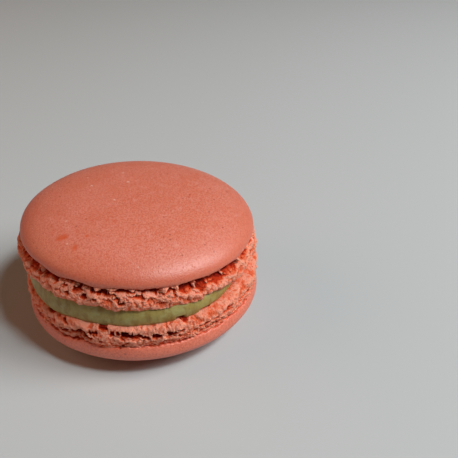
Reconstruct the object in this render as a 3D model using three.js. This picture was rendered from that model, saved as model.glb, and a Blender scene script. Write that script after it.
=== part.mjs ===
// A French macaron, life size: two almond meringue shells with ruffled feet and a disc of pistachio
// buttercream between them. Millimetres, +Z up. The biscuit rests on the flat under its lower shell,
// with the origin on the table under its middle.
//
// Each solid is a stack of closed rings between two poles. A ring's points are given by an azimuth,
// counted from the front (-Y) towards +X, a radius from the axis and a height.
import * as THREE from "three";

// ---- Driving dimensions ----
const RIM_RADIUS = 22; // lengths along the rim are counted at this radius
const RING_POINTS = 132; // points around each shell
const FILLING_POINTS = 96; // points around the filling
const CAP_RINGS = 9; // rings from a cap's crown to its widest
const FOOT_RINGS = 7; // rings down the face of a foot
const CLEARANCE = 0.3; // gap between the filling and each shell

// Lower shell, crown down. Heights are counted from the foot's base, where the filling lies.
const LOWER = {
  footHeight: 4.6,
  footRadius: 21.95, // where the foot meets the cap
  footFlare: 0.4, // the foot is wider than that by up to this
  rim: 0.7, // rounding of the foot's free edge
  capRadius: 22.65, // at the cap's widest ring
  capRise: 7.2, // from the cap's lip to the crown
  flatRadius: 8.9, // the flat that the biscuit rests on
  roundness: { radial: 1.5, axial: 2.07 },
  lipTurn: 1.5, // height between the cap's widest ring and its lip
  lipInset: 0.45, // the lip curls in by this
  crevice: 0.2, // depth of the crevice under the lip
  shift: { x: 0.35, y: -0.4 },
  seed: 11,
};

// Upper shell, crown up.
const UPPER = {
  footHeight: 4.35,
  footRadius: 21.5,
  footFlare: 1.05,
  rim: 0.3,
  capRadius: 22.1,
  capRise: 6.3,
  flatRadius: 0,
  roundness: { radial: 2.52, axial: 1.78 },
  lipTurn: 0.55,
  lipInset: 0.3,
  crevice: 0.9,
  shift: { x: -0.2, y: 0.3 }, // sits a little left of the lower one, and further back
  seed: 23,
};

const LOWER_THICKNESS = LOWER.footHeight + LOWER.capRise;
const FILLING_HEIGHT = 3.05; // between the two feet, on the axis
const UPPER_LEAN = THREE.MathUtils.degToRad(3.15); // the upper shell leans down to the right

// ---- Relief of a foot ----
const CREVICE_DROP = 0.3; // the crevice is deepest this far under the lip
const FACE_DROP = 0.7; // and has closed this far under it, where the foot's face starts
const BASE_INSET = 2.4; // the foot's base is flat from this far in
const RUFFLE = 0.15; // slow in-and-out of the foot around the rim
const EDGE_WAVE = 0.4; // the foot's free edge stands off the base by up to about this
const LIP_WAVE = 0.2; // rise and fall of the cap's lip
const CRUMBS = { count: 170, size: [0.8, 1.4], rise: [0.1, 0.3] };
const PORES = { count: 150, size: [0.5, 0.95], rise: [-0.5, -0.15] };
const HIGHEST_CRAG = 0.25; // crumbs that overlap pile up no further than this

// Tears between cap and foot: azimuth in degrees, height above the foot's base as a share of its
// height, half length along the rim, half height, and depth, in mm.
const UPPER_TEARS = [
  [-67, 0.9, 2.6, 0.8, 1.1],
  [-57, 0.85, 2.2, 0.85, 1.5],
  [-48.5, 0.8, 1.6, 0.7, 1.4],
  [-38.5, 0.84, 0.9, 0.55, 1.2],
  [-15, 0.98, 1.2, 0.3, 0.8],
  [-6, 0.74, 0.9, 0.3, 1],
  [6.6, 0.7, 1.1, 0.25, 0.8],
  [13, 0.98, 1.1, 0.4, 1.5],
  [18, 0.76, 0.9, 0.25, 0.8],
  [28, 0.82, 1.5, 0.75, 1.5],
  [35, 0.8, 1.5, 0.85, 1.7],
  [44, 0.79, 2.3, 0.9, 1.7],
  [54, 0.82, 2.2, 0.8, 1.5],
  [66, 0.86, 2.6, 0.7, 1.3],
];
const LOWER_TEARS = [
  [-62, 0.9, 1.8, 0.3, 0.7],
  [-54, 0.88, 1.6, 0.35, 0.8],
  [-47, 0.84, 1.6, 0.35, 0.8],
  [-40, 0.84, 1.4, 0.4, 0.9],
  [-39, 0.05, 1, 0.3, 0.6],
  [-33, 0.78, 0.9, 0.35, 0.8],
  [-27, 0.66, 0.9, 0.45, 1.2],
  [-23, 0.52, 0.9, 0.55, 1.5],
  [-19, 0.62, 1, 0.5, 1.4],
  [-1.2, 0.36, 0.9, 0.6, 1.5],
  [3.4, 0.46, 1.1, 0.5, 1.5],
  [12, 0.48, 0.9, 0.5, 1.5],
  [20, 0.5, 1, 0.45, 1.5],
  [35, 0.48, 1, 0.3, 0.6],
  [38, 0.86, 0.9, 0.3, 0.7],
  [49, 0.36, 1.2, 0.35, 0.6],
  [56, 0.48, 1.2, 0.35, 0.7],
  [66, 0.58, 1.6, 0.4, 0.8],
];
const FIRST_HIDDEN_TEAR = 82; // degrees: from here round the back, tears come by rule
const TEAR_STEP = 14; // degrees from one to the next
const TEAR_JITTER = 8; // degrees that they stray over

// ---- Filling ----
const FILLING_RADIUS = 21.85;
const FILLING_BULGE = 0.4; // its side swells by this at mid-height
const FILLING_RIPPLE = 0.2; // its side waves in and out by about this
const FILLING_INNER_RING = 8; // radius of a ring on its ceiling
// Its side from ceiling to floor: share of its height, and how far its edges are rounded in there.
const FILLING_SIDE = [
  [1, 0.3],
  [0.88, 0.06],
  [0.68, 0],
  [0.5, 0],
  [0.32, 0],
  [0.12, 0.06],
  [0, 0.3],
];
// Where the buttercream stops short of the rim: degrees, then mm at its floor and at its ceiling.
// At the first it clings to the upper shell and leaves a dark gap over the lower one. At the last it
// bulges out over the lower one.
const HOLLOWS = [
  { azimuth: 85, halfWidth: 24, atFloor: 6, atCeiling: 3.2 },
  { azimuth: 168, halfWidth: 14, atFloor: 0.8, atCeiling: 1.4 },
  { azimuth: -128, halfWidth: 18, atFloor: 1.8, atCeiling: 1.0 },
  { azimuth: -88, halfWidth: 20, atFloor: 1.5, atCeiling: 2 },
  { azimuth: -17, halfWidth: 8, atFloor: -0.25, atCeiling: 0 },
];

// ---- Helpers ----
const TURN = 2 * Math.PI;
const BEND = 1 - Math.SQRT1_2; // halfway round, a quarter round is in by this share of its radius
const rad = THREE.MathUtils.degToRad;
const lerp = THREE.MathUtils.lerp;

// Mulberry32: the same draws on every run.
function randomSource(seed) {
  let state = seed;
  return () => {
    state = (state + 0x6d2b79f5) | 0;
    let t = Math.imul(state ^ (state >>> 15), 1 | state);
    t = (t + Math.imul(t ^ (t >>> 7), 61 | t)) ^ t;
    return ((t ^ (t >>> 14)) >>> 0) / 4294967296;
  };
}

// Shortest signed way from one azimuth to another.
function turnBetween(from, to) {
  return Math.atan2(Math.sin(to - from), Math.cos(to - from));
}

// An uneven wave round the rim, mostly between -1 and 1: five cosines, two or three waves apart,
// whose phases step by the golden angle.
function ripple(azimuth, firstWave, seed) {
  const golden = Math.PI * (3 - Math.sqrt(5));
  let sum = 0;
  for (let i = 0; i < 5; i += 1) {
    const wave = firstWave + 2 * i + (i % 2);
    sum += Math.cos(wave * azimuth + golden * (seed + 3 * i));
  }
  return sum / 3;
}

// A round or long mound on the unrolled foot: exp of minus the squared distance from its middle.
function mound(spot, azimuth, height) {
  const along = (turnBetween(spot.azimuth, azimuth) * RIM_RADIUS) / spot.halfLength;
  const up = (height - spot.height) / spot.halfHeight;
  return spot.rise * Math.exp(-(along * along) - up * up);
}

// Round spots scattered over the unrolled foot.
function scatter(kind, footHeight, next) {
  return Array.from({ length: kind.count }, () => {
    const size = lerp(...kind.size, next());
    return {
      azimuth: TURN * next(),
      height: footHeight * next(),
      halfLength: size,
      halfHeight: 0.7 * size,
      rise: lerp(...kind.rise, next()),
    };
  });
}

// The tears that are placed by name, then others by rule on the side behind.
function tearSpots(named, footHeight, next) {
  const spots = named.map(([azimuth, share, halfLength, halfHeight, depth]) => ({
    azimuth: rad(azimuth),
    height: share * footHeight,
    halfLength,
    halfHeight,
    rise: -depth,
  }));
  for (let a = FIRST_HIDDEN_TEAR; a < 360 - FIRST_HIDDEN_TEAR; a += TEAR_STEP) {
    spots.push({
      azimuth: rad(a + TEAR_JITTER * (next() - 0.5)),
      height: footHeight * lerp(0.5, 0.95, next()),
      halfLength: lerp(1.2, 3.2, next()),
      halfHeight: lerp(0.35, 0.65, next()),
      rise: -lerp(0.7, 1.3, next()),
    });
  }
  return spots;
}

// ---- Shells ----
// Radius of the foot: a barrel that is widest at a third of its height and narrows to the lip, with
// its slow ruffle, crumbs, pores and tears.
function footRadius(shell, spots, azimuth, height) {
  const share = Math.min(Math.max(height / shell.footHeight, 0), 1);
  const barrel = shell.footFlare * Math.sin((Math.PI / 4) * (1 + 3 * share));
  const ruffle = RUFFLE * ripple(azimuth, 9, shell.seed);
  const relief = spots.reduce((sum, spot) => sum + mound(spot, azimuth, height), 0);
  return shell.footRadius + barrel + ruffle + Math.min(relief, HIGHEST_CRAG);
}

// The rings of one shell from its crown to the middle of its base, each a function of the azimuth.
function shellRings(shell, tears) {
  const next = randomSource(shell.seed);
  const { footHeight, rim, capRadius, capRise, flatRadius, roundness, lipTurn, lipInset } = shell;
  const face = (a, height) => footRadius(shell, spots, a, height);
  const spots = [
    ...tearSpots(tears, footHeight, next),
    ...scatter(CRUMBS, footHeight, next),
    ...scatter(PORES, footHeight, next),
  ];
  const crown = footHeight + capRise;
  const widest = footHeight + lipTurn;
  const lipHeight = (a) => footHeight + LIP_WAVE * ripple(a, 12, shell.seed + 5);
  const edgeHeight = (a) => EDGE_WAVE * (0.6 + 0.36 * ripple(a, 14, shell.seed + 9));
  const rings = [];

  // Cap: a quarter of a superellipse, from the flat or the pole out to the widest ring.
  for (let i = flatRadius > 0 ? 0 : 1; i <= CAP_RINGS; i += 1) {
    const t = (Math.PI / 2) * (1 - i / CAP_RINGS);
    const reach = Math.cos(t) ** (2 / roundness.radial);
    const rise = Math.sin(t) ** (2 / roundness.axial);
    const radius = flatRadius + (capRadius - flatRadius) * reach;
    rings.push(() => [radius, widest + (crown - widest) * rise]);
  }

  // The cap's edge turns in to its lip, and a crevice opens under it.
  rings.push((a) => [capRadius - BEND * lipInset, lerp(widest, lipHeight(a), 1 - BEND)]);
  rings.push((a) => [capRadius - lipInset, lipHeight(a)]);
  rings.push((a) => {
    const height = lipHeight(a) - CREVICE_DROP;
    return [face(a, height) - shell.crevice, height];
  });

  // The foot's craggy face.
  for (let i = 0; i < FOOT_RINGS; i += 1) {
    rings.push((a) => {
      const height = lerp(lipHeight(a) - FACE_DROP, edgeHeight(a) + rim, i / (FOOT_RINGS - 1));
      return [face(a, height), height];
    });
  }

  // Its rounded free edge, and the flat base that lies on the filling.
  rings.push((a) => [face(a, rim) - BEND * rim, edgeHeight(a) + BEND * rim]);
  rings.push((a) => [face(a, rim) - rim, edgeHeight(a)]);
  rings.push(() => [shell.footRadius - BASE_INSET, 0]);
  return { rings, crown };
}

// Skins a stack of rings, with a pole at each end, into one closed geometry. Rings come from the
// top down when `up` is 1; with -1 the stack is turned crown down and its faces keep facing out.
function skin(rings, firstPole, lastPole, points, up) {
  const place = (a, radius, height) => [
    radius * Math.sin(a),
    -radius * Math.cos(a),
    up * height,
  ];
  const positions = [place(0, 0, firstPole)];
  rings.forEach((ring) => {
    for (let i = 0; i < points; i += 1) {
      const a = (TURN * i) / points;
      positions.push(place(a, ...ring(a)));
    }
  });
  positions.push(place(0, 0, lastPole));

  const index = [];
  const triangle = (p, q, r) => index.push(...(up > 0 ? [p, q, r] : [p, r, q]));
  const at = (ring, i) => 1 + ring * points + (i % points);
  const last = positions.length - 1;
  for (let i = 0; i < points; i += 1) {
    triangle(0, at(0, i), at(0, i + 1));
    for (let k = 0; k + 1 < rings.length; k += 1) {
      triangle(at(k, i), at(k + 1, i), at(k + 1, i + 1));
      triangle(at(k, i), at(k + 1, i + 1), at(k, i + 1));
    }
    triangle(last, at(rings.length - 1, i + 1), at(rings.length - 1, i));
  }
  const geometry = new THREE.BufferGeometry();
  geometry.setAttribute("position", new THREE.Float32BufferAttribute(positions.flat(), 3));
  geometry.setIndex(index);
  geometry.computeVertexNormals();
  return geometry;
}

function makeShell(name, shell, tears, up, material) {
  const { rings, crown } = shellRings(shell, tears);
  const mesh = new THREE.Mesh(skin(rings, crown, 0, RING_POINTS, up), material);
  mesh.name = name;
  return mesh;
}

// ---- Filling ----
// Radius of the buttercream's side: a circle with a slow ripple, swelling at mid-height and drawn in
// at the hollows. The share is 0 at its floor and 1 at its ceiling.
function fillingRadius(azimuth, share) {
  const swell = FILLING_BULGE * Math.sin(Math.PI * share);
  const drawnIn = HOLLOWS.reduce((sum, hollow) => {
    const off = turnBetween(rad(hollow.azimuth), azimuth) / rad(hollow.halfWidth);
    return sum + lerp(hollow.atFloor, hollow.atCeiling, share) * Math.exp(-off * off);
  }, 0);
  return FILLING_RADIUS + FILLING_RIPPLE * ripple(azimuth, 3, 4) + swell - drawnIn;
}

function makeFilling(material) {
  const floor = LOWER_THICKNESS + CLEARANCE;
  // Height of the ceiling: the base of the leaning upper shell.
  const ceiling = (x) =>
    LOWER_THICKNESS + FILLING_HEIGHT - CLEARANCE - (x - UPPER.shift.x) * Math.tan(UPPER_LEAN);
  const ringAt = (share, inset) => (a) => {
    const radius = fillingRadius(a, share) - inset;
    return [radius, lerp(floor, ceiling(radius * Math.sin(a)), share)];
  };
  const rings = [
    (a) => [FILLING_INNER_RING, ceiling(FILLING_INNER_RING * Math.sin(a))],
    ...FILLING_SIDE.map(([share, inset]) => ringAt(share, inset)),
  ];
  const geometry = skin(rings, ceiling(0), floor, FILLING_POINTS, 1);
  const mesh = new THREE.Mesh(geometry, material);
  mesh.name = "filling";
  return mesh;
}

// ---- Assembly ----
const meringue = new THREE.MeshStandardMaterial({ color: 0xd9765f, roughness: 0.62, metalness: 0 });
const buttercream = new THREE.MeshStandardMaterial({ color: 0x93884f, roughness: 0.5, metalness: 0 });

const macaron = new THREE.Group();
macaron.name = "macaron";

const lower = makeShell("shell_lower", LOWER, LOWER_TEARS, -1, meringue);
lower.position.set(LOWER.shift.x, LOWER.shift.y, LOWER_THICKNESS);
macaron.add(lower);

macaron.add(makeFilling(buttercream));

const upper = makeShell("shell_upper", UPPER, UPPER_TEARS, 1, meringue);
upper.position.set(UPPER.shift.x, UPPER.shift.y, LOWER_THICKNESS + FILLING_HEIGHT);
upper.rotation.y = UPPER_LEAN;
macaron.add(upper);

export default macaron;
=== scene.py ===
"""A French macaron: two almond meringue shells with ruffled feet, and pistachio buttercream between.

Shapes are worked out in millimetres and written to the meshes in metres. Every surface is a grid of
points over two parameters: the azimuth round the biscuit, counted from the front (-Y) towards +X, and
a place along a profile that runs from one pole to the other.
"""

from __future__ import annotations

import logging
import math
from dataclasses import dataclass, field
from enum import Enum
from typing import Iterator

import bpy
import numpy as np
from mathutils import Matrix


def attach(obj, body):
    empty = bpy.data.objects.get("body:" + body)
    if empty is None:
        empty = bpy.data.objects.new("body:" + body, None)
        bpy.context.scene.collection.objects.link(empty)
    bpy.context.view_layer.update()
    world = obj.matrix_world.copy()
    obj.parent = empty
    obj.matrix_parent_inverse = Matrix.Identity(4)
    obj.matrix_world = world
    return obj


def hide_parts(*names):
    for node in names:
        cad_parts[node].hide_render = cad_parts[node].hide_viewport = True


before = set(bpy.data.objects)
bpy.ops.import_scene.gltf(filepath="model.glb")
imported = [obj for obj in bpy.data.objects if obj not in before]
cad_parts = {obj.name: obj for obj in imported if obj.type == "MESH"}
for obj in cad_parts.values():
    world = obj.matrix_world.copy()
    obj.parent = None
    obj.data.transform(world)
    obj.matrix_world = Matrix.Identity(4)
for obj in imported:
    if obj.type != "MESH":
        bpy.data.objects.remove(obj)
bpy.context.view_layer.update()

log = logging.getLogger("macaron")

Array = np.ndarray
Material = bpy.types.Material
Node = bpy.types.Node
Object = bpy.types.Object
Socket = bpy.types.NodeSocket
Triple = tuple[float, float, float]
Colour = tuple[float, float, float, float]  # linear red, green and blue, and alpha
Blots = tuple[Triple, ...]  # x, y and radius of each, in mm

MM = 0.001  # metres in a millimetre
TURN = 2.0 * math.pi
GOLDEN_ANGLE = math.pi * (3.0 - math.sqrt(5.0))
WORD = 0xFFFFFFFF  # a 32-bit word of ones

RIM_RADIUS = 22.0  # lengths along the rim are counted at this radius
RIM_LENGTH = TURN * RIM_RADIUS
LOWER_THICKNESS = 11.8
FILLING_HEIGHT = 3.05  # between the two feet, on the axis
UPPER_LEAN = math.radians(3.15)  # the upper shell leans down to the right
UPPER_SHIFT = (-0.2, 0.3)  # and its axis stands this far off the middle


class Crown(Enum):
    """Which way a shell's crown points."""

    UP = 1
    DOWN = -1


# ---- Draws and noise ----


def draws(seed: int) -> Iterator[float]:
    """Mulberry32: endless draws from 0 to 1, the same on every run.

    Args:
        seed: The starting state.

    Returns:
        An iterator over the draws.
    """
    state = seed
    while True:
        state = (state + 0x6D2B79F5) & WORD
        t = ((state ^ (state >> 15)) * (1 | state)) & WORD
        t = ((t + (t ^ (t >> 7)) * (61 | t)) & WORD) ^ t
        yield (t ^ (t >> 14)) / 2.0**32


def hashed(column: Array, row: Array, seed: int) -> Array:
    """A number from 0 to 1 for each cell of a lattice: the cell's indices mixed by multiply and shift.

    Args:
        column: Whole column numbers.
        row: Whole row numbers.
        seed: Chooses one field out of many.

    Returns:
        The numbers, in the shape of the inputs.
    """
    word = column.astype(np.int64) * 374761393 + row.astype(np.int64) * 668265263 + seed * 2147483647
    word &= WORD
    for shift, factor in ((13, 1274126177), (16, 2246822519), (15, 3266489917)):
        word = ((word ^ (word >> shift)) * factor) & WORD
    return (word ^ (word >> 16)) / 2.0**32


def fractal(along: Array, across: Array | float, size: float, seed: int, octaves: int = 3) -> Array:
    """Smooth noise, mostly from -1 to 1, that closes on itself once round the rim.

    Each lattice corner has a slope in a random direction, and a point takes the mix of its four
    corners' slopes by the smoothstep of its place between them. Each octave is half as wide and half
    as strong as the one before.

    Args:
        along: Distance round the rim, in mm.
        across: Distance along the profile, in mm.
        size: Width of a cell of the first octave's lattice, in mm.
        seed: Chooses one field out of many.
        octaves: How many are summed.

    Returns:
        The noise, in the shape of the inputs.
    """
    total = np.zeros(np.broadcast(along, across).shape)
    for octave in range(octaves):
        width = size / 2**octave
        count = max(1, round(RIM_LENGTH / width))
        u, v = along / RIM_LENGTH * count, across / width
        iu, iv = np.floor(u), np.floor(v)
        fu, fv = u - iu, v - iv
        mixed = np.zeros(total.shape)
        for du, dv in ((0, 0), (0, 1), (1, 0), (1, 1)):
            way = TURN * hashed(np.mod(iu + du, count), iv + dv, seed + 101 * octave)
            slope = np.cos(way) * (fu - du) + np.sin(way) * (fv - dv)
            share = smoothstep(1.0, 0.0, np.abs(fu - du))
            mixed = mixed + slope * share * smoothstep(1.0, 0.0, np.abs(fv - dv))
        total = total + 1.7 * mixed / 2**octave
    return total / (2.0 - 0.5 ** (octaves - 1))


def cells(along: Array, across: Array, size: float, seed: int) -> tuple[Array, Array]:
    """Cellular noise: one seed point somewhere in each lattice cell.

    Args:
        along: Distance round the rim, in mm.
        across: Distance along the profile, in mm.
        size: Width of a cell, in mm.
        seed: Chooses one field out of many.

    Returns:
        The distance to the nearest seed point in mm, and a draw from 0 to 1 that belongs to it.
    """
    along, across = np.broadcast_arrays(along, across)
    count = round(RIM_LENGTH / size)
    u, v = along / RIM_LENGTH * count, across / size
    iu, iv = np.floor(u), np.floor(v)
    nearest = np.full(u.shape, np.inf)
    lot = np.zeros(u.shape)
    for du in (-1, 0, 1):
        for dv in (-1, 0, 1):
            cu, cv = np.mod(iu + du, count), iv + dv
            pu = iu + du + hashed(cu, cv, seed)
            pv = cv + hashed(cu, cv, seed + 7)
            distance = np.hypot(u - pu, v - pv) * size
            lot = np.where(distance < nearest, hashed(cu, cv, seed + 13), lot)
            nearest = np.minimum(nearest, distance)
    return nearest, lot


def ripple(azimuth: Array, first_wave: int, seed: int) -> Array:
    """An uneven wave round the rim, mostly between -1 and 1.

    The sum of five cosines, two or three waves apart, whose phases step by the golden angle, over 3.

    Args:
        azimuth: In radians.
        first_wave: Waves round the rim of the slowest cosine.
        seed: Sets the first phase.

    Returns:
        The wave, in the shape of azimuth.
    """
    total = np.zeros(np.shape(azimuth))
    for i in range(5):
        wave = first_wave + 2 * i + i % 2
        total = total + np.cos(wave * azimuth + GOLDEN_ANGLE * (seed + 3 * i))
    return total / 3.0


def apart(azimuth: Array, middle: float) -> Array:
    """How far each azimuth is from the middle, from minus to plus half a turn, in radians."""
    return np.arctan2(np.sin(azimuth - middle), np.cos(azimuth - middle))


def between(ends: tuple[float, float], share: Array | float) -> Array | float:
    """The number at that share of the way between two ends."""
    return ends[0] + (ends[1] - ends[0]) * share


def smoothstep(low: Array | float, high: Array | float, value: Array) -> Array:
    """0 below low, 1 above high, and 3x^2 - 2x^3 between them. It falls if high is the lower one."""
    x = np.clip((value - low) / (high - low), 0.0, 1.0)
    return x * x * (3.0 - 2.0 * x)


def blurred(grid: Array, columns: float, rows: float) -> Array:
    """A grid averaged over its neighbours by a Gaussian, through its Fourier series.

    The grid closes on itself along its rows. A mirror image keeps its first and last rows apart.

    Args:
        grid: The numbers.
        columns: Width of the Gaussian along a row, in grid steps.
        rows: Its width from row to row.

    Returns:
        The averages.
    """
    padded = np.concatenate([grid, grid[::-1]])
    fy = np.fft.fftfreq(len(padded))[:, None]
    fx = np.fft.rfftfreq(grid.shape[1])[None, :]
    kernel = np.exp(-2.0 * (math.pi**2) * ((fy * rows) ** 2 + (fx * columns) ** 2))
    return np.fft.irfft2(np.fft.rfft2(padded) * kernel, s=padded.shape)[: len(grid)]


# ---- Meshes ----


@dataclass
class Skin:
    """A closed surface: rings of points, one under the other, between two poles."""

    points: Array  # (rings, points round, 3), in mm
    first_pole: Array  # closes the first ring
    last_pole: Array  # closes the last ring
    outward: bool = True  # False if the rings run the other way up
    values: dict[str, Array] = field(default_factory=dict)  # named numbers, one for each point

    def mesh(self, name: str) -> Object:
        """Writes the surface to a new object at the origin.

        Quads join each ring to the next, and triangles join the end rings to the poles.

        Args:
            name: The object's name.

        Returns:
            The object, linked to the scene.
        """
        rings, around, _ = self.points.shape
        poles = [self.first_pole, self.last_pole]
        coordinates = np.concatenate([self.points.reshape(-1, 3), poles]) * MM
        ids = np.arange(rings * around).reshape(rings, around)
        following = np.roll(ids, -1, axis=1)
        quads = np.stack([ids[:-1], ids[1:], following[1:], following[:-1]], axis=-1).reshape(-1, 4)
        lids = np.concatenate([
            np.stack([np.full(around, ids.size), ids[0], following[0]], axis=-1),
            np.stack([np.full(around, ids.size + 1), following[-1], ids[-1]], axis=-1),
        ])
        way = 1 if self.outward else -1
        mesh = bpy.data.meshes.new(name)
        faces = quads[:, ::way].tolist() + lids[:, ::way].tolist()
        mesh.from_pydata(coordinates.tolist(), [], faces, shade_flat=False)
        for key, numbers in self.values.items():
            layer = mesh.attributes.new(key, "FLOAT", "POINT")
            ends = [numbers[0].mean(), numbers[-1].mean()]
            layer.data.foreach_set("value", np.concatenate([numbers.ravel(), ends]))
        mesh.validate()
        piece = bpy.data.objects.new(name, mesh)
        bpy.context.scene.collection.objects.link(piece)
        log.info("%s: %d faces", name, len(faces))
        return piece


def azimuths(count: int) -> Array:
    """That many azimuths, evenly round the biscuit, in radians."""
    return TURN * np.arange(count) / count


# ---- Finishes ----


class Nodes:
    """Adds and joins the nodes of one material or node group."""

    def __init__(self, tree: bpy.types.NodeTree) -> None:
        """Starts on an empty tree."""
        self.tree = tree
        self.tree.nodes.clear()

    def add(self, kind: str, settings: dict[str, object] | None = None, **inputs: object) -> Node:
        """Adds a node.

        Args:
            kind: Its type, without the leading "ShaderNode".
            settings: Its properties.
            **inputs: Its sockets, by name with _ for a space. A socket is joined, and a value is set.

        Returns:
            The node.
        """
        full = kind if kind.startswith("Node") else "ShaderNode" + kind
        node = self.tree.nodes.new(full)
        for key, value in (settings or {}).items():
            setattr(node, key, value)
        for key, value in inputs.items():
            self.feed(node.inputs[key.replace("_", " ")], value)
        return node

    def feed(self, socket: Socket, value: object) -> None:
        """Joins a socket to another, or sets its value.

        Args:
            socket: The one that takes it in.
            value: Another socket, a number or a colour.
        """
        if isinstance(value, Socket):
            self.tree.links.new(value, socket)
        else:
            socket.default_value = value

    def place(self) -> Socket:
        """The object's own coordinates, in metres."""
        return self.add("TexCoord").outputs["Object"]

    def attribute(self, name: str) -> Socket:
        """A number that the mesh carries at each of its points."""
        return self.add("Attribute", {"attribute_name": name}).outputs["Fac"]

    def noise(self, place: Socket, scale: Socket | float, detail: float, roughness: float) -> Socket:
        """Noise of that many waves a metre, from 0 to 1."""
        node = self.add("TexNoise", Vector=place, Scale=scale, Detail=detail, Roughness=roughness)
        return node.outputs[0]

    def math(self, operation: str, *terms: object) -> Socket:
        """Works out a sum.

        Args:
            operation: The Math node's name for it.
            *terms: Sockets or numbers, in the node's order.

        Returns:
            The result.
        """
        node = self.add("Math", {"operation": operation})
        for socket, term in zip(node.inputs, terms):
            self.feed(socket, term)
        return node.outputs[0]

    def band(self, value: Socket, low: float, high: float, start: float = 0, end: float = 1) -> Socket:
        """A number that eases from start to end as the value goes from low to high."""
        ends = {"Value": value, "From_Min": low, "From_Max": high, "To_Min": start, "To_Max": end}
        return self.add("MapRange", {"interpolation_type": "SMOOTHSTEP"}, **ends).outputs[0]

    def layered(self, colour: Socket | Colour, *layers: tuple[Socket, Colour]) -> Socket:
        """Lays colours one over another.

        Args:
            colour: The lowest one.
            *layers: The next ones in order, each with the share of what is below that it hides.

        Returns:
            The colour that shows.
        """
        for share, cover in layers:
            node = self.add("Mix", {"data_type": "RGBA"})
            for index, value in ((0, share), (6, colour), (7, cover)):
                self.feed(node.inputs[index], value)
            colour = node.outputs[2]
        return colour


def srgb(*channels: int) -> Colour:
    """A colour as screens show it, in Blender's linear values.

    Args:
        *channels: Red, green and blue, from 0 to 255.

    Returns:
        The linear colour, with an alpha of 1.
    """
    shares = [channel / 255.0 for channel in channels]
    return (*(s / 12.92 if s <= 0.04045 else ((s + 0.055) / 1.055) ** 2.4 for s in shares), 1.0)


class BakedGrain:
    """The fine grain of baked almond meringue: tiny pores and bumps, and flecks of almond skin."""

    def __init__(self) -> None:
        """Builds the node group once. Its scales are in waves a metre."""
        self.tree = bpy.data.node_groups.new("baked_grain", "ShaderNodeTree")
        new_socket = self.tree.interface.new_socket
        for name, usual in (("Grain Scale", 4200.0), ("Pore Scale", 3000.0), ("Fleck Size", 0.2)):
            socket = new_socket(name=name, in_out="INPUT", socket_type="NodeSocketFloat")
            socket.default_value = usual
        for name in ("Height", "Dark Fleck", "Pale Fleck", "Mottle"):
            new_socket(name=name, in_out="OUTPUT", socket_type="NodeSocketFloat")
        nodes = Nodes(self.tree)
        given = nodes.add("NodeGroupInput").outputs
        place = nodes.place()
        grain = nodes.noise(place, given["Grain Scale"], 3.0, 0.6)
        pores = nodes.add("TexVoronoi", Vector=place, Scale=given["Pore Scale"])
        pore = nodes.band(pores.outputs["Distance"], 0.05, 0.42)
        height = nodes.math("MULTIPLY_ADD", pore, 0.4, nodes.math("MULTIPLY", grain, 0.6))
        flecks = nodes.add("TexVoronoi", Vector=place, Scale=800.0)
        lot = nodes.add("SeparateColor", Color=flecks.outputs["Color"]).outputs
        size = nodes.math("MULTIPLY", given["Fleck Size"], lot["Blue"])
        inside = nodes.math("LESS_THAN", flecks.outputs["Distance"], size)
        dark = nodes.math("MULTIPLY", inside, nodes.math("GREATER_THAN", lot["Red"], 0.5))
        pale = nodes.math("MULTIPLY", inside, nodes.math("LESS_THAN", lot["Red"], 0.05))
        mottle = nodes.noise(place, 160.0, 4.0, 0.6)
        out = nodes.add("NodeGroupOutput").inputs
        for socket, value in zip(out, (height, dark, pale, mottle)):
            nodes.feed(socket, value)

    def outputs(self, nodes: Nodes, **inputs: float) -> bpy.types.NodeOutputs:
        """Puts the group into a material, with its own values, and gives its outputs."""
        return nodes.add("Group", {"node_tree": self.tree}, **inputs).outputs


@dataclass(frozen=True, kw_only=True)
class Finish:
    """A matt food surface with a fine tooth, which lets some light in and scatters it."""

    name: str
    roughness: float
    gloss: float = 0.5  # specular level
    scatter: float  # share of the light that goes in
    scatter_tint: Triple  # how far red, green and blue go, as shares of the depth
    scatter_depth: float  # mm
    tooth: float  # strength of the fine relief
    tooth_height: float  # mm

    def pattern(self, nodes: Nodes) -> tuple[Socket, Socket]:
        """The finish's own colour and fine relief, which each kind of finish makes for itself."""
        raise NotImplementedError

    def material(self) -> Material:
        """Puts the pattern on a shader.

        Returns:
            The material.
        """
        material = bpy.data.materials.new(self.name)
        material.use_nodes = True
        nodes = Nodes(material.node_tree)
        colour, height = self.pattern(nodes)
        bump = nodes.add("Bump", Height=height, Strength=self.tooth, Distance=self.tooth_height * MM)
        shader = nodes.add(
            "BsdfPrincipled",
            Base_Color=colour,
            Normal=bump.outputs[0],
            Roughness=self.roughness,
            Specular_IOR_Level=self.gloss,
            Subsurface_Weight=self.scatter,
            Subsurface_Radius=self.scatter_tint,
            Subsurface_Scale=self.scatter_depth * MM,
        )
        nodes.add("OutputMaterial", Surface=shader.outputs[0])
        return material


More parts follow.
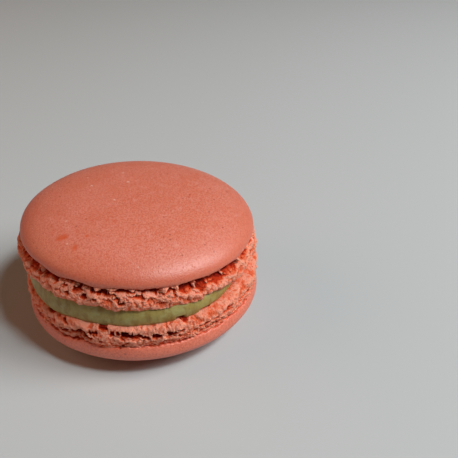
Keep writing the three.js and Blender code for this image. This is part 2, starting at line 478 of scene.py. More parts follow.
@dataclass(frozen=True, kw_only=True)
class SmoothSkin(Finish):
    """The matt, egg-smooth skin of a cap, browner where its "edge" attribute is 1: partly its own
    baked colour, partly painted shade on the rim that turns from the light.
    """

    grain: BakedGrain
    roughness: float = 0.43
    gloss: float = 0.72
    scatter: float = 0.12
    scatter_tint: Triple = (1.0, 0.35, 0.2)
    scatter_depth: float = 0.8
    tooth: float = 0.7
    tooth_height: float = 0.1
    body: Colour = srgb(226, 136, 115)
    deep: Colour = srgb(223, 129, 105)
    pale: Colour = srgb(231, 148, 131)
    # the rim's colour: partly baked browning, partly painted shade
    baked_and_shaded: Colour = srgb(214, 108, 78)
    dust: Colour = srgb(206, 96, 68)
    stain: Colour = srgb(216, 86, 38)
    fleck: Colour = srgb(176, 84, 62)
    sugar: Colour = srgb(244, 196, 182)
    stains: Blots = ()  # of stronger colour
    specks: Blots = ()  # of bare almond

    def pattern(self, nodes: Nodes) -> tuple[Socket, Socket]:
        """Mottled salmon with pale clouds, dark dust and flecks, a few stains and specks, and a
        browner rim that is partly painted shade.

        Args:
            nodes: The material's nodes.

        Returns:
            The colour, and the height of the fine relief.
        """
        grain = self.grain.outputs(nodes)
        place = nodes.place()
        cloud = nodes.noise(place, 500.0, 5.0, 0.7)
        dust = nodes.noise(place, 3000.0, 2.0, 0.7)
        colour = nodes.layered(
            self.deep,
            (nodes.band(grain["Mottle"], 0.35, 0.65), self.body),
            (nodes.band(cloud, 0.5, 0.72, 0.0, 0.75), self.pale),
            # browner rim by the "edge" attribute: partly baked colour, partly painted shade
            (nodes.math("MULTIPLY", nodes.attribute("edge"), 0.85), self.baked_and_shaded),
            (nodes.band(dust, 0.38, 0.58, 0.7, 0.0), self.dust),
            (nodes.math("MULTIPLY", grain["Dark Fleck"], 0.7), self.fleck),
            (nodes.math("MULTIPLY", grain["Pale Fleck"], 0.45), self.sugar),
            *((self._blot(nodes, place, blot), self.stain) for blot in self.stains),
            *((self._blot(nodes, place, blot), self.sugar) for blot in self.specks),
        )
        return colour, grain["Height"]

    def _blot(self, nodes: Nodes, place: Socket, blot: Triple) -> Socket:
        """A soft blot with an edge that noise makes ragged.

        Args:
            nodes: The material's nodes.
            place: The object's coordinates.
            blot: Its x, y and radius, in mm.

        Returns:
            Nearly 1 in the middle and 0 outside.
        """
        x, y, size = (length * MM for length in blot)
        middle = nodes.add("Mapping", Vector=place, Location=(-x, -y, 0.0), Scale=(1.0, 1.0, 0.0))
        distance = nodes.add("VectorMath", {"operation": "LENGTH"}, Vector=middle.outputs[0])
        ragged = nodes.noise(place, 1500.0, 4.0, 0.7)
        reach = nodes.math("MULTIPLY_ADD", ragged, -2.4 * size, distance.outputs["Value"])
        return nodes.band(reach, -1.4 * size, 0.3 * size, 0.95, 0.0)


@dataclass(frozen=True, kw_only=True)
class TornCrumb(Finish):
    """The open crumb of a foot: paler on its crests as painted light, and redder and darker where it
    is hollow as painted shade.
    """

    grain: BakedGrain
    name: str = "meringue_crumb"
    roughness: float = 0.72
    gloss: float = 0.1
    scatter: float = 0.4
    scatter_tint: Triple = (1.0, 0.5, 0.3)
    scatter_depth: float = 0.3
    tooth: float = 1.0
    tooth_height: float = 0.28
    # painted light on the crests, then painted shade from body through hollow to pit
    crest: Colour = srgb(240, 156, 130)
    body: Colour = srgb(229, 106, 68)
    hollow: Colour = srgb(188, 50, 14)
    pit: Colour = srgb(140, 24, 6)

    def pattern(self, nodes: Nodes) -> tuple[Socket, Socket]:
        """Colour from the "hollow" attribute, broken up by grain: painted light on the crests, and
        painted shade in the hollows and pits.

        Args:
            nodes: The material's nodes.

        Returns:
            The colour, and the height of the fine relief.
        """
        grain = self.grain.outputs(nodes, Pore_Scale=2800.0)
        patch = nodes.math("MULTIPLY_ADD", nodes.noise(nodes.place(), 700.0, 4.0, 0.65), 0.9, -0.38)
        depth = nodes.math("ADD", nodes.attribute("hollow"), patch)
        depth = nodes.math("MULTIPLY_ADD", grain["Height"], -0.3, depth)
        # paler crests are painted light; redder hollows and dark pits are painted shade
        colour = nodes.layered(
            self.crest,
            (nodes.band(depth, -0.35, 0.08), self.body),
            (nodes.band(depth, 0.08, 0.45), self.hollow),
            (nodes.band(depth, 0.55, 1.0), self.pit),
            (nodes.math("MULTIPLY", grain["Dark Fleck"], 0.4), self.pit),
        )
        return colour, grain["Height"]


@dataclass(frozen=True, kw_only=True)
class Buttercream(Finish):
    """Pistachio buttercream: olive green, soft and a little greasy, with paler smears."""

    name: str = "buttercream"
    roughness: float = 0.48
    scatter: float = 0.25
    scatter_tint: Triple = (1.0, 0.9, 0.35)
    scatter_depth: float = 1.0
    tooth: float = 0.4
    tooth_height: float = 0.08
    body: Colour = srgb(161, 142, 74)
    shade: Colour = srgb(145, 117, 51)
    pale: Colour = srgb(167, 160, 101)

    def pattern(self, nodes: Nodes) -> tuple[Socket, Socket]:
        """Upright smears and patches of two tones over the body colour, with a fine grain.

        Args:
            nodes: The material's nodes.

        Returns:
            The colour, and the height of the fine relief.
        """
        place = nodes.place()
        upright = nodes.add("Mapping", Vector=place, Scale=(1.0, 1.0, 0.4)).outputs[0]
        smear = nodes.band(nodes.noise(upright, 800.0, 4.0, 0.65), 0.36, 0.6)
        patch = nodes.band(nodes.noise(place, 480.0, 4.0, 0.6), 0.48, 0.68, 0.0, 0.8)
        colour = nodes.layered(self.shade, (smear, self.body), (patch, self.pale))
        return colour, nodes.noise(place, 2600.0, 3.0, 0.6)


# ---- Shells ----


@dataclass(frozen=True)
class Mark:
    """A place on a foot's face, and how far what is there spreads."""

    azimuth: float  # degrees
    share: float  # height above the foot's base, as a share of the foot's height
    half_length: float  # along the rim
    half_height: float

    def spot(self, foot_height: float, rise: float) -> Spot:
        """The same place in radians and mm, on a foot of that height."""
        height = self.share * foot_height
        return Spot(math.radians(self.azimuth), height, self.half_length, self.half_height, rise)


@dataclass(frozen=True)
class Tear(Mark):
    """A rip where the foot tore away from the cap as it rose in the oven."""

    depth: float


@dataclass(frozen=True)
class Spot:
    """A mound, or with a negative rise a dent, on the unrolled foot."""

    azimuth: float  # radians
    height: float
    half_length: float
    half_height: float
    rise: float

    def offset(self, azimuth: Array, height: Array) -> tuple[Array, Array]:
        """How far along and up from the spot's middle points are, in its half sizes."""
        along = apart(azimuth, self.azimuth) * RIM_RADIUS / self.half_length
        return along, (height - self.height) / self.half_height

    def over(self, azimuth: Array, height: Array) -> Array:
        """rise * exp(-q), where q is the squared distance from the middle in half sizes."""
        along, up = self.offset(azimuth, height)
        return self.rise * np.exp(-(along**2) - up**2)

    def torn_over(self, azimuth: Array, height: Array, jag: Array | float, up: int) -> Array:
        """Depth as a tear, times a step of exp(-q) + jag, where q is the squared offset.

        It undercuts the crumb above it. The half height is drawn out below the middle, and the depth
        tapers away there.

        Args:
            azimuth: In radians.
            height: Above the foot's base.
            jag: Raggedness of the edge, about -0.5 to 0.5.
            up: 1 where the height grows upwards in the world, and -1 where it grows downwards.

        Returns:
            The depth in mm.
        """
        along, above = self.offset(azimuth, height)
        above = up * above
        inside = np.exp(-(along**2) - np.where(above > 0.0, above, above / 1.7) ** 2)
        jag = jag * smoothstep(0.02, 0.25, inside) * (0.25 + 0.75 * smoothstep(-0.8, 0.2, above))
        ragged = smoothstep(0.2, 0.55, inside + jag)
        return -self.rise * ragged * (0.25 + 0.75 * smoothstep(-1.6, 0.3, above))


@dataclass(frozen=True)
class Scatter:
    """How many round spots of one kind are strewn over a foot, and their sizes."""

    count: int
    size: tuple[float, float]
    rise: tuple[float, float]

    def spots(self, foot_height: float, draw: Iterator[float]) -> list[Spot]:
        """Strews the spots: size, azimuth, height and rise are drawn in that order.

        Args:
            foot_height: The foot they are strewn over.
            draw: Where the draws come from.

        Returns:
            The spots.
        """
        made = []
        for _ in range(self.count):
            size = between(self.size, next(draw))
            azimuth = TURN * next(draw)
            height = foot_height * next(draw)
            made.append(Spot(azimuth, height, size, 0.7 * size, between(self.rise, next(draw))))
        return made


CRUMBS = Scatter(170, (0.8, 1.4), (0.1, 0.3))
PORES = Scatter(150, (0.5, 0.95), (-0.5, -0.15))
FIRST_HIDDEN_TEAR = 82  # degrees: from here round the back, tears come by rule
TEAR_STEP = 14
TEAR_JITTER = 8
DEEPEST_TEAR = 1.7  # tears that lie over each other go no deeper
DEEPEST_HOLE = 2.3  # and nothing goes deeper than this

# How wide the crumb's features are, and how far they stand out or sink in
MOUND_SIZE, MOUND_RISE = 1.1, 0.14
CLOD_SIZE, CLOD_RISE = 0.85, 0.16
GRAIN_SIZE, GRAIN_RISE = 0.45, (0.04, 0.15)
CAVE_SIZE, CAVE_DEPTH = 0.9, 0.5
NOOK_SIZE, NOOK_DEPTH = 0.5, 0.08
SWAY_SIZE = 2.8  # of the noise that bends the tears
SMOOTHING = 0.5  # crests are what stands out of a foot averaged this widely

LIP_RINGS = 12  # from the cap's widest ring round to its lip
UNDER_LIP = ((0.12, 0.0), (0.4, 0.12), (1.0, 0.35), (2.5, 0.6))  # then on: in, and up from the lip


@dataclass(frozen=True)
class Shell:
    """One meringue shell: a smooth cap, and the craggy foot that rises out from under it.

    Heights are counted from the foot's base, where the filling lies, towards the crown.
    """

    name: str
    node: str
    crown: Crown
    foot_height: float
    foot_radius: float  # where it meets the cap
    foot_flare: float  # it is wider than that by up to this
    rim: float  # rounding of the foot's free edge
    crevice: float  # depth of the crevice under the lip
    crevice_reach: float  # how far down from the lip it reaches, on average
    cap_radius: float  # at the cap's widest ring
    cap_rise: float  # from the lip to the crown
    flat_radius: float  # of the flat at the crown, 0 for none
    radial: float  # roundness of the cap's profile outwards
    axial: float  # and upwards
    lip_turn: float  # height between the cap's widest ring and its lip
    lip_inset: float  # the lip curls in by this
    shift: Triple  # of the middle of its base
    lean: float  # radians, down to the right
    seed: int
    ragged_size: float  # width of the tatters of the cap's edge
    tears: tuple[Tear, ...]
    lumps: tuple[Mark, ...] = ()  # of crumb, which stick to the cap and bridge the crevice
    closed_lip: float = 0.0  # how far the crumb closes up again just under the lip
    bridge: float = 0.0  # crumb swells by this where it bridges the crevice
    ragged_lip: float = 0.6  # the cap's edge is torn up and down by this
    lip_wave: float = 0.2  # of the lip, up and down
    edge_wave: float = 0.4  # of the foot's free edge
    ruffle: float = 0.15  # of the foot's radius
    highest_crag: float = 0.25
    cap_points: int = 960
    cap_rings: int = 46
    foot_points: int = 1320
    face_rings: int = 48

    def build(self, skin: Material, crumb: Material) -> None:
        """Makes and dresses the cap and the foot, which together stand for the CAD node.

        Args:
            skin: For the cap.
            crumb: For the foot.
        """
        for piece, finish in ((self.cap(), skin), (self.foot(), crumb)):
            piece.data.materials.append(finish)
            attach(piece, "root")
            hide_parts(self.node)

    def placed(self, azimuth: Array | float, radius: Array | float, height: Array | float) -> Array:
        """Points of the shell in the part's frame, in mm.

        (r sin a, -r cos a, +-h), turned by the lean about Y and then shifted.

        Args:
            azimuth: In radians.
            radius: From the shell's axis.
            height: Above the foot's base, towards the crown.

        Returns:
            The points, with a last axis of three.
        """
        azimuth, radius, height = np.broadcast_arrays(azimuth, radius, height)
        x = radius * np.sin(azimuth)
        y = -radius * np.cos(azimuth)
        z = self.crown.value * height
        cosine, sine = math.cos(self.lean), math.sin(self.lean)
        points = np.stack([x * cosine + z * sine, y, z * cosine - x * sine], axis=-1)
        return points + np.array(self.shift)

    def lip_height(self, azimuth: Array) -> Array:
        """Height of the cap's lip: the foot's height with a slow wave."""
        return self.foot_height + self.lip_wave * ripple(azimuth, 12, self.seed + 5)

    def cap(self) -> Object:
        """The cap: a quarter superellipse from crown to widest ring, then a lip torn up and down.

        r = flat + (R - flat) cos(t)^(2/radial) and h = widest + rise sin(t)^(2/axial), with t from a
        quarter turn at the crown to 0 at the widest ring. Two slow waves keep it hand-made.

        Returns:
            The cap's object.
        """
        azimuth = azimuths(self.cap_points)[None, :]
        along = azimuth * RIM_RADIUS
        widest = self.foot_height + self.lip_turn
        crown = self.foot_height + self.cap_rise
        start = 0 if self.flat_radius else 1
        t = (math.pi / 2) * (1.0 - np.arange(start, self.cap_rings + 1) / self.cap_rings)[:, None]
        reach = np.cos(t) ** (2.0 / self.radial)
        rise = np.sin(t) ** (2.0 / self.axial)
        radius = self.flat_radius + (self.cap_radius - self.flat_radius) * reach
        height = widest + (crown - widest) * rise
        uneven = 0.05 * ripple(azimuth, 2, self.seed + 40) * reach**4
        radius = radius + uneven
        height = height + 0.05 * ripple(azimuth, 1, self.seed + 50) * reach**2 * rise

        ragged = self.ragged_lip * fractal(along, 0.0, self.ragged_size, self.seed + 60, 4)
        lip = self.lip_height(azimuth)
        wall = self.cap_radius + uneven[-1:]
        inset = self.lip_inset + 0.08 * fractal(along, 1.0, 1.6, self.seed + 61)
        turn = np.linspace(0.0, 1.0, LIP_RINGS + 1)[1:, None]
        lip_radius = wall - inset * (1.0 - np.cos(turn * math.pi / 2))
        lip_height = widest + (lip - widest) * np.sin(turn * math.pi / 2) + ragged * turn**5
        way_in, way_up = (column[:, None] for column in np.array(UNDER_LIP).T)
        radius = np.concatenate([radius, lip_radius, wall - inset - way_in])
        height = np.concatenate([height, lip_height, lip + ragged + way_up])
        # 1 at the lip, easing to 0 towards the crown: where the skin takes its browner rim, partly
        # painted shade
        edge = np.ones(radius.shape)
        edge[: len(t)] = smoothstep(0.8, 0.05, t)
        skin = Skin(
            self.placed(azimuth, radius, height),
            self.placed(0.0, 0.0, crown),
            self.placed(0.0, 0.0, self.foot_height + UNDER_LIP[-1][1]),
            self.crown is Crown.UP,
            {"edge": edge},
        )
        return skin.mesh(f"{self.name}_cap")

    def spots(self) -> tuple[list[Spot], list[Spot]]:
        """The foot's tears, and its strewn crumbs and pores.

        Returns:
            The tears, and the rest.
        """
        draw = draws(self.seed)
        tears = [tear.spot(self.foot_height, -tear.depth) for tear in self.tears]
        for degrees in range(FIRST_HIDDEN_TEAR, 360 - FIRST_HIDDEN_TEAR, TEAR_STEP):
            azimuth = math.radians(degrees + TEAR_JITTER * (next(draw) - 0.5))
            height = self.foot_height * between((0.5, 0.95), next(draw))
            half_length = between((1.2, 3.2), next(draw))
            half_height = between((0.35, 0.65), next(draw))
            depth = between((0.7, 1.3), next(draw))
            tears.append(Spot(azimuth, height, half_length, half_height, -depth))
        strewn = CRUMBS.spots(self.foot_height, draw) + PORES.spots(self.foot_height, draw)
        return tears, strewn

    def profile(self) -> Array:
        """The foot's profile, from inside the cap, down its face, round its rim and in over its base.

        Returns:
            Rows of (share of the face's height, way in from the face, share of the rim's turn). The
            first is over 1 inside the cap. The last is an angle in radians from 0 on the face to a
            quarter turn on the base.
        """
        hidden = [(1.0 + 0.12 * s, 0.0, 0.0) for s in (2.4, 1.2)]
        face = [(s, 0.0, 0.0) for s in np.linspace(1.05, 0.12, self.face_rings)]
        rim = [(0.0, 0.0, s) for s in np.linspace(0.12, 1.0, 7) * math.pi / 2]
        base = [(0.0, s, math.pi / 2) for s in (*np.arange(0.1, 1.55, 0.1), 1.8, 2.3, 3.0)]
        return np.array(hidden + face + rim + base)

    def torn(self, tears: list[Spot], azimuth: Array, height: Array, jag: Array | float) -> Array:
        """How deep all the tears together go, in mm."""
        depths = (tear.torn_over(azimuth, height, jag, self.crown.value) for tear in tears)
        return np.minimum(sum(depths), DEEPEST_TEAR)

    def relief(self, azimuth: Array, height: Array, across: Array) -> tuple[Array, Array]:
        """How far the crumb stands out of, or sinks into, the foot's smooth barrel.

        Slow mounds, clods and grains, less tears with jagged edges, and ragged caves and nooks where
        a noise passes a limit. The limit falls, and the hollows crowd, towards the cap. The noise
        runs on down the walls of the tears, and starts anew on the floors of the holes.

        Args:
            azimuth: In radians.
            height: Above the foot's base.
            across: Distance along the profile.

        Returns:
            The relief in mm, outwards positive, and how hollow each point is: 0 on the face, and about
            1 at the bottom of a hole.
        """
        along = azimuth * RIM_RADIUS
        seed = self.seed * 1000
        up = self.crown.value
        tears, strewn = self.spots()
        walls = self.torn(tears, azimuth, height, 0.0)
        inner = across - 1.2 * up * walls
        # Both distances bent by noise, so that no feature is round or straight
        bent_along = along + 0.4 * fractal(along, inner, 1.3, seed + 1)
        bent_across = inner + 0.3 * fractal(along, inner, 1.0, seed + 2)
        level = height / self.foot_height + 0.2 * fractal(along, across, 3.0, seed + 3, 1)
        open_crumb = smoothstep(0.3, 0.7, level) - self.closed_lip * smoothstep(0.7, 0.95, level)
        calm = smoothstep(0.0, 1.1, height - self.rim)  # the free edge has no holes

        soft = np.clip(sum(spot.over(azimuth, height) for spot in strewn), -0.3, self.highest_crag)
        jag = 0.55 * fractal(bent_along, bent_across, 1.15, seed + 7)
        sway = 0.7 * (bent_along - along) + 0.5 * fractal(along, across, SWAY_SIZE, seed + 21, 1)
        lifted = height + 0.8 * (bent_across - inner)
        lifted = lifted + 0.3 * fractal(along, across, SWAY_SIZE, seed + 22, 1)
        ripped = self.torn(tears, azimuth + sway / RIM_RADIUS, lifted, jag)
        cut = 0.6 - 0.42 * open_crumb
        caves = fractal(bent_along, 1.15 * bent_across, CAVE_SIZE, seed + 8)
        caves = smoothstep(cut, cut + 0.32, caves)
        bent_across = bent_across - up * (1.1 * (ripped - walls) + 0.5 * caves)
        nooks = fractal(bent_along, bent_across, NOOK_SIZE, seed + 9, 2) - 0.2 * (1.0 - open_crumb)
        nooks = smoothstep(0.15, 0.4, nooks)
        clods, _ = cells(bent_along, bent_across, CLOD_SIZE, seed + 4)
        grains, lot = cells(along + 0.3 * (bent_along - along), bent_across, GRAIN_SIZE, seed + 14)
        lumps = CLOD_RISE * (1.0 - (clods / 0.55) ** 2)
        lumps = lumps + MOUND_RISE * fractal(bent_along, bent_across, MOUND_SIZE, seed + 5)
        lumps = lumps + between(GRAIN_RISE, lot) * (1.0 - (grains / 0.28) ** 2)
        hollows = (CAVE_DEPTH * caves + NOOK_DEPTH * nooks * (1.0 - caves)) * calm
        hollows = hollows * (1.0 - 0.6 * np.clip(ripped, 0.0, 1.0))
        relief = soft + lumps * (0.85 + 0.15 * calm) - hollows - ripped
        return relief, hollows + ripped

    def foot(self) -> Object:
        """The foot: its profile carried round the rim, with the crumb's relief along its normal.

        The barrel's radius is R + flare sin(pi (1 + 3 h / H) / 4) + ruffle. A crevice of uneven width
        runs under the lip, and closes here and there where lumps bridge it. Crests droop a little
        towards the base, and the "hollow" value grows with depth. The crumb's colour takes it as
        painted shade in the hollows and painted light on the crests.

        Returns:
            The foot's object.
        """
        azimuth = azimuths(self.foot_points)[None, :]
        along = azimuth * RIM_RADIUS
        share, inward, turn = (column[:, None] for column in self.profile().T)
        edge = self.edge_wave * (0.6 + 0.36 * ripple(azimuth, 14, self.seed + 9))
        edge = edge + 0.07 * (1.0 + fractal(along, 0.0, 1.0, self.seed + 72))
        lip = self.lip_height(azimuth)
        rim = self.rim
        height = edge + rim + (lip - edge - rim) * share
        height = np.where(share > 0.0, height, edge + rim * (1.0 - np.sin(turn)))
        height = np.where(inward > 0.0, edge * np.exp(-inward / 0.5), height)
        level = np.clip(height / self.foot_height, 0.0, 1.0)
        barrel = self.foot_flare * np.sin(math.pi / 4 * (1.0 + 3.0 * level))
        ruffle = self.ruffle * ripple(azimuth, 9, self.seed)
        radius = self.foot_radius + barrel + ruffle - rim * (1.0 - np.cos(turn)) - inward
        steps = np.hypot(np.diff(radius.mean(axis=1)), np.diff(height.mean(axis=1)))
        across = np.concatenate([[0.0], np.cumsum(steps)])[:, None]

        relief, hollow = self.relief(azimuth, height, across)
        jag = fractal(along, across, 0.7, self.seed + 71)
        opening = fractal(along, 0.0, 3.0, self.seed + 70)
        reach = self.crevice_reach * np.clip(1.0 + 2.2 * opening, -0.3, 1.7)
        crevice = smoothstep(-0.12, 0.12, height - (lip - reach) + 0.6 * self.crevice_reach * jag)
        closed = smoothstep(-0.25, -0.6, opening) * np.exp(-(((lip - height) / 0.7) ** 2))
        bridges = [lump.spot(self.foot_height, 1.0) for lump in self.lumps]
        closed = np.maximum(closed, sum(spot.over(azimuth, height) for spot in bridges))
        crevice = self.crevice * crevice * (1.0 - closed)
        relief = relief - crevice + self.bridge * closed
        # the crevice under the lip adds painted shade to the crumb's colour
        hollow = hollow + 1.2 * crevice - 0.5 * closed
        calm = np.exp(-((inward / 0.8) ** 2))
        relief = np.maximum(relief, -DEEPEST_HOLE) * calm
        columns = SMOOTHING * self.foot_points / RIM_LENGTH
        rows = SMOOTHING * self.face_rings / self.foot_height
        crest = relief - blurred(relief, columns, rows)
        # this value paints light onto the crests and shade into the hollows
        hollow = np.clip(0.9 * hollow - 1.5 * crest, -1.0, 1.5)

        radius = radius + relief * np.cos(turn)
        height = height - np.clip(relief, -0.3, 0.12) * np.sin(turn) * calm
        height = height - 0.25 * crest * np.cos(turn)
        skin = Skin(
            self.placed(azimuth, radius, height),
            self.placed(0.0, 0.0, self.foot_height + 1.0),
            self.placed(0.0, 0.0, 0.0),
            self.crown is Crown.UP,
            {"hollow": hollow},
        )
        return skin.mesh(f"{self.name}_foot")


# A little left of the lower one, further back, and leaning right
UPPER_SHELL = Shell(
    name="upper", node="shell_upper", crown=Crown.UP,
    foot_height=4.35, foot_radius=21.5, foot_flare=1.05, rim=0.3,
    crevice=1.0, crevice_reach=0.7, bridge=0.45, ragged_size=1.2,
    cap_radius=22.1, cap_rise=6.3, flat_radius=0.0, radial=2.52, axial=1.78,
    lip_turn=0.55, lip_inset=0.3,
    shift=(*UPPER_SHIFT, LOWER_THICKNESS + FILLING_HEIGHT), lean=UPPER_LEAN, seed=23,
    tears=(
        Tear(-67, 0.9, 2.6, 0.8, 1.1), Tear(-57, 0.85, 2.2, 0.85, 1.5),
        Tear(-48.5, 0.8, 1.6, 0.7, 1.4), Tear(-43, 0.72, 0.8, 0.5, 1.2),
        Tear(-38.5, 0.84, 0.9, 0.55, 1.2), Tear(-33, 0.82, 0.8, 0.6, 1.2),
        Tear(-28.4, 0.97, 0.7, 0.3, 0.7), Tear(-27, 0.78, 0.5, 0.35, 0.8),
        Tear(-24.6, 0.49, 0.5, 0.3, 0.6), Tear(-20.8, 0.78, 0.8, 0.5, 1.2),
        Tear(-17.6, 0.5, 0.6, 0.4, 0.9), Tear(-15, 0.98, 1.2, 0.3, 0.8),
        Tear(-11.7, 0.48, 0.7, 0.3, 0.9), Tear(-8.7, 0.83, 0.8, 0.4, 1.3),
        Tear(-6, 0.74, 0.9, 0.3, 1.0), Tear(-2.6, 0.62, 0.8, 0.35, 1.0),
        Tear(-0.4, 0.46, 0.6, 0.4, 1.0), Tear(1, 0.99, 0.6, 0.3, 0.9), Tear(6.6, 0.7, 1.1, 0.25, 0.8),
        Tear(8, 0.96, 0.7, 0.25, 1.2), Tear(13, 0.98, 1.1, 0.4, 1.5), Tear(18, 0.76, 0.9, 0.25, 0.8),
        Tear(28, 0.82, 1.5, 0.75, 1.5), Tear(35, 0.8, 1.5, 0.85, 1.7), Tear(44, 0.79, 2.3, 0.9, 1.7),
        Tear(54, 0.82, 2.2, 0.8, 1.5), Tear(66, 0.86, 2.6, 0.7, 1.3),
    ),
    lumps=(
        Mark(-11.5, 0.92, 0.9, 0.6), Mark(-4.8, 0.98, 1.6, 0.4), Mark(4, 0.98, 0.8, 0.4),
        Mark(18, 0.94, 0.9, 0.5), Mark(23.2, 0.95, 0.8, 0.5),
    ),
)  # fmt: skip

# Resting on the flat of its dome
LOWER_SHELL = Shell(
    name="lower", node="shell_lower", crown=Crown.DOWN,
    foot_height=4.6, foot_radius=21.95, foot_flare=0.4, rim=0.7,
    crevice=0.15, crevice_reach=0.12, closed_lip=0.9, ragged_size=1.1,
    cap_radius=22.65, cap_rise=7.2, flat_radius=8.9, radial=1.5, axial=2.07,
    lip_turn=1.5, lip_inset=0.45,
    shift=(0.35, -0.4, LOWER_THICKNESS), lean=0.0, seed=11,
    tears=(
        Tear(-62, 0.9, 1.8, 0.3, 0.7), Tear(-54, 0.88, 1.6, 0.35, 0.8),
        Tear(-47, 0.84, 1.6, 0.35, 0.8), Tear(-40, 0.84, 1.4, 0.4, 0.9),
        Tear(-39, 0.05, 1.0, 0.3, 0.6), Tear(-31, 0.18, 0.5, 0.3, 0.6),
        Tear(-33, 0.78, 0.9, 0.35, 0.8), Tear(-27, 0.66, 0.9, 0.45, 1.2),
        Tear(-23, 0.52, 0.9, 0.55, 1.5), Tear(-19, 0.62, 1.0, 0.5, 1.4),
        Tear(-15.8, 0.4, 0.8, 0.35, 0.9), Tear(-11.5, 0.07, 0.8, 0.35, 1.0),
        Tear(-8.3, 0.34, 0.5, 0.35, 0.8), Tear(-5, 0.3, 0.6, 0.4, 1.0),
        Tear(-1.2, 0.36, 0.9, 0.6, 1.5), Tear(3.4, 0.46, 1.1, 0.5, 1.5),
        Tear(7.4, 0.53, 0.7, 0.3, 1.1), Tear(12, 0.48, 0.9, 0.5, 1.5), Tear(17, 0.36, 0.45, 0.35, 0.9),
        Tear(20, 0.5, 1.0, 0.45, 1.5), Tear(22.8, 0.46, 0.5, 0.35, 0.9),
        Tear(26, 0.05, 0.6, 0.35, 0.9), Tear(35, 0.48, 1.0, 0.3, 0.6), Tear(38, 0.86, 0.9, 0.3, 0.7),
        Tear(49, 0.36, 1.2, 0.35, 0.6), Tear(56, 0.48, 1.2, 0.35, 0.7), Tear(66, 0.58, 1.6, 0.4, 0.8),
    ),
)  # fmt: skip


# ---- Filling ----


@dataclass(frozen=True)
class Hollow:
    """A stretch where the buttercream stops short of the rim, or with negative depths, bulges."""

    azimuth: float  # degrees
    half_width: float  # degrees
    at_floor: float
    at_ceiling: float


@dataclass(frozen=True)
class Pocket:
    """A small gap between the buttercream and the foot below it."""

    azimuth: float  # degrees
    half_width: float  # degrees
    depth: float


@dataclass
class Filling:
    """The layer of buttercream, a wedge between the two feet that runs right through."""

    radius: float = 21.85
    bulge: float = 0.4
    shoulder: float = 0.3  # its edges are rounded this far in
    shoulder_height: float = 0.7
    ripple_depth: float = 0.2
    tuck: float = 0.55  # it presses this far into the crumb above and below
    points: int = 900
    side_rings: int = 44
    face_rings: tuple[float, float] = (4.0, 12.0)  # two rings of each face, this far in from its edge
    hollows: tuple[Hollow, ...] = (
        Hollow(85, 24, 6.0, 3.2),
        Hollow(168, 14, 0.8, 1.4),
        Hollow(-128, 18, 1.8, 1.0),
        Hollow(-17, 8, -0.25, 0.0),
        Hollow(-88, 20, 1.5, 2.0),
    )
    pockets: tuple[Pocket, ...] = (
        Pocket(24.5, 1.8, 1.6),
        Pocket(37.0, 2.4, 1.8),
        Pocket(44.0, 2.6, 2.0),
        Pocket(53.0, 4.5, 2.2),
    )
    pocket_reach: float = 0.34  # a pocket closes at this share of the height

    def build(self, finish: Material) -> None:
        """Makes and dresses the filling, which stands for the CAD node.

        Args:
            finish: Its material.
        """
        piece = self.surface()
        piece.data.materials.append(finish)
        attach(piece, "root")
        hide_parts("filling")

    def side(self, azimuth: Array, share: Array) -> Array:
        """Radius of the side: a circle with a slow ripple, swelling at mid-height, less the hollows.

        Args:
            azimuth: In radians.
            share: 0 at the floor and 1 at the ceiling.

        Returns:
            The radius in mm.
        """
        radius = self.radius + self.ripple_depth * ripple(azimuth, 3, 4)
        radius = radius + self.bulge * np.sin(math.pi * share)
        for hollow in self.hollows:
            turn = apart(azimuth, math.radians(hollow.azimuth)) / math.radians(hollow.half_width)
            radius = radius - between((hollow.at_floor, hollow.at_ceiling), share) * np.exp(-(turn**2))
        for pocket in self.pockets:
            turn = np.degrees(azimuth) - pocket.azimuth
            depth = pocket.depth * smoothstep(self.pocket_reach, 0.6 * self.pocket_reach, share)
            radius = radius - depth * np.exp(-((turn / pocket.half_width) ** 4))
        return radius

    def surface(self) -> Object:
        """The side from ceiling to floor, with rounded edges, and both faces.

        The height goes from the floor to the leaning ceiling by the ring's share. The radius is that
        of side(), with upright smears of a tenth of a millimetre.

        Returns:
            The filling's object.
        """
        azimuth = azimuths(self.points)[None, :]
        along = azimuth * RIM_RADIUS
        shares = np.linspace(1.0, 0.0, self.side_rings)[:, None]
        smears = 0.05 * fractal(along, 0.5 * FILLING_HEIGHT * shares, 0.9, 301)
        smears = smears + 0.08 * fractal(along, FILLING_HEIGHT * shares, 4.5, 305, 1)
        edge = np.minimum(shares, 1.0 - shares) * FILLING_HEIGHT / self.shoulder_height
        rounding = self.shoulder * (1.0 - np.sqrt(1.0 - np.clip(1.0 - edge, 0.0, 1.0) ** 2))
        radius = self.side(azimuth, shares) + smears - rounding
        inner = np.array(self.face_rings)[:, None]
        radius = np.concatenate([radius[:1] - inner[::-1], radius, radius[-1:] - inner])
        shares = np.concatenate([np.ones((2, 1)), shares, np.zeros((2, 1))])
        x = radius * np.sin(azimuth)
        floor = LOWER_THICKNESS - self.tuck
        drop = (x - UPPER_SHIFT[0]) * math.tan(UPPER_LEAN)
        ceiling = LOWER_THICKNESS + FILLING_HEIGHT + self.tuck - drop
        height = floor + (ceiling - floor) * shares
        points = np.stack([x, -radius * np.cos(azimuth), height], axis=-1)
        skin = Skin(points, np.array([0.0, 0.0, ceiling[0].mean()]), np.array([0.0, 0.0, floor]))
        return skin.mesh("buttercream_layer")


# ---- Studio ----


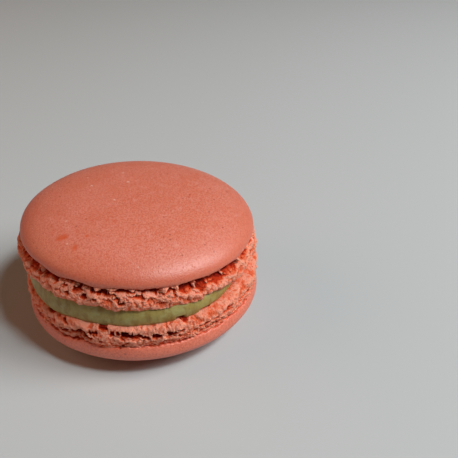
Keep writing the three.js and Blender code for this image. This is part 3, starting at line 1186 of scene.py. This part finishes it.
@dataclass(frozen=True)
class Lamp:
    """A round soft lamp that stands off from the biscuit and faces it."""

    name: str
    azimuth: float  # degrees from the front towards +X
    elevation: float  # degrees
    size: float  # metres
    power: float  # watts
    tint: Triple
    distance: float = 0.8  # metres

    def build(self) -> None:
        """Adds the lamp to the scene."""
        lamp = bpy.data.lights.new(self.name, "AREA")
        lamp.color = self.tint
        lamp.shape = "DISK"
        lamp.size = self.size
        lamp.energy = self.power
        holder = bpy.data.objects.new(self.name, lamp)
        azimuth, elevation = math.radians(self.azimuth), math.radians(self.elevation)
        level = math.cos(elevation)
        way = (level * math.sin(azimuth), -level * math.cos(azimuth), math.sin(elevation))
        holder.location = np.array(way) * self.distance
        holder.rotation_euler = (math.pi / 2 - elevation, 0.0, azimuth)
        bpy.context.scene.collection.objects.link(holder)


@dataclass
class Studio:
    """A pale floor, soft light from above and the right, and the camera."""

    camera_place: Triple = (17.4, -99.5, 79.41)  # mm
    camera_dip: float = 31.95  # degrees below the level
    lens: float = 47.16
    floor_colour: Colour = srgb(192, 198, 200)
    floor_half: float = 0.6  # metres
    lamps: tuple[Lamp, ...] = (
        Lamp("key", 54, 56, 0.13, 2.55, (0.88, 0.98, 1.0)),
        Lamp("window", 82, 44, 0.45, 4.4, (1.0, 0.96, 0.95)),
        Lamp("bounce", -90, 35, 0.7, 1.5, (1.0, 0.54, 0.33)),
    )
    sky: Colour = (0.04, 0.029, 0.019, 1.0)
    backdrop: Colour = (0.42, 0.44, 0.44, 1.0)  # what shows behind the floor

    def build(self) -> None:
        """Sets up the floor, the lights, the camera and the plain colour transform."""
        self._floor()
        self._lights()
        self._camera()
        bpy.context.scene.view_settings.view_transform = "Standard"

    def _floor(self) -> None:
        """A flat sheet of pale card, larger than the view."""
        half = self.floor_half
        corners = [(-half, -half, 0), (half, -half, 0), (half, half, 0), (-half, half, 0)]
        mesh = bpy.data.meshes.new("floor")
        mesh.from_pydata(corners, [], [(0, 1, 2, 3)])
        floor = bpy.data.objects.new("floor", mesh)
        bpy.context.scene.collection.objects.link(floor)
        material = bpy.data.materials.new("card")
        material.use_nodes = True
        shader = material.node_tree.nodes["Principled BSDF"]
        shader.inputs["Base Color"].default_value = self.floor_colour
        shader.inputs["Roughness"].default_value = 0.9
        shader.inputs["Specular IOR Level"].default_value = 0.1
        mesh.materials.append(material)

    def _lights(self) -> None:
        """The lamps, and a faint even sky."""
        world = bpy.data.worlds.new("studio")
        world.use_nodes = True
        nodes = Nodes(world.node_tree)
        seen = nodes.add("LightPath").outputs["Is Camera Ray"]
        colour = nodes.layered(self.sky, (seen, self.backdrop))
        nodes.add("OutputWorld", Surface=nodes.add("Background", Color=colour).outputs[0])
        bpy.context.scene.world = world
        for lamp in self.lamps:
            lamp.build()

    def _camera(self) -> None:
        """A level camera that looks along +Y and down by the dip."""
        data = bpy.data.cameras.new("camera")
        data.lens = self.lens
        data.clip_start = 0.005
        camera = bpy.data.objects.new("camera", data)
        camera.location = np.array(self.camera_place) * MM
        camera.rotation_euler = (math.radians(90.0 - self.camera_dip), 0.0, 0.0)
        bpy.context.scene.collection.objects.link(camera)
        bpy.context.scene.camera = camera


def main() -> None:
    """Builds the biscuit and the studio round it."""
    logging.basicConfig(level=logging.INFO, format="%(name)s: %(message)s")
    Studio().build()
    grain = BakedGrain()
    stained = SmoothSkin(
        grain=grain,
        name="upper_skin",
        stains=((-11.6, -13.3, 0.8), (-10.6, -13.2, 0.7), (-8.5, -15.8, 0.6), (-6.8, -13.5, 0.35)),
        specks=(
            (-8.9, 2.5, 0.3), (-3.8, 8.4, 0.25), (-2.2, 4.1, 0.3), (-3.7, -3.1, 0.2), (-10.5, 6.5, 0.2)
        ),
    ).material()  # fmt: skip
    # paler than the upper skin: painted light on the lower shell, which the lamps leave darker
    plain = SmoothSkin(
        grain=grain,
        name="lower_skin",
        body=srgb(234, 134, 109),
        deep=srgb(230, 124, 98),
        pale=srgb(236, 146, 124),
        baked_and_shaded=srgb(233, 125, 97),
    ).material()
    crumb = TornCrumb(grain=grain).material()
    LOWER_SHELL.build(plain, crumb)
    Filling().build(Buttercream().material())
    UPPER_SHELL.build(stained, crumb)


if __name__ == "__main__":
    main()
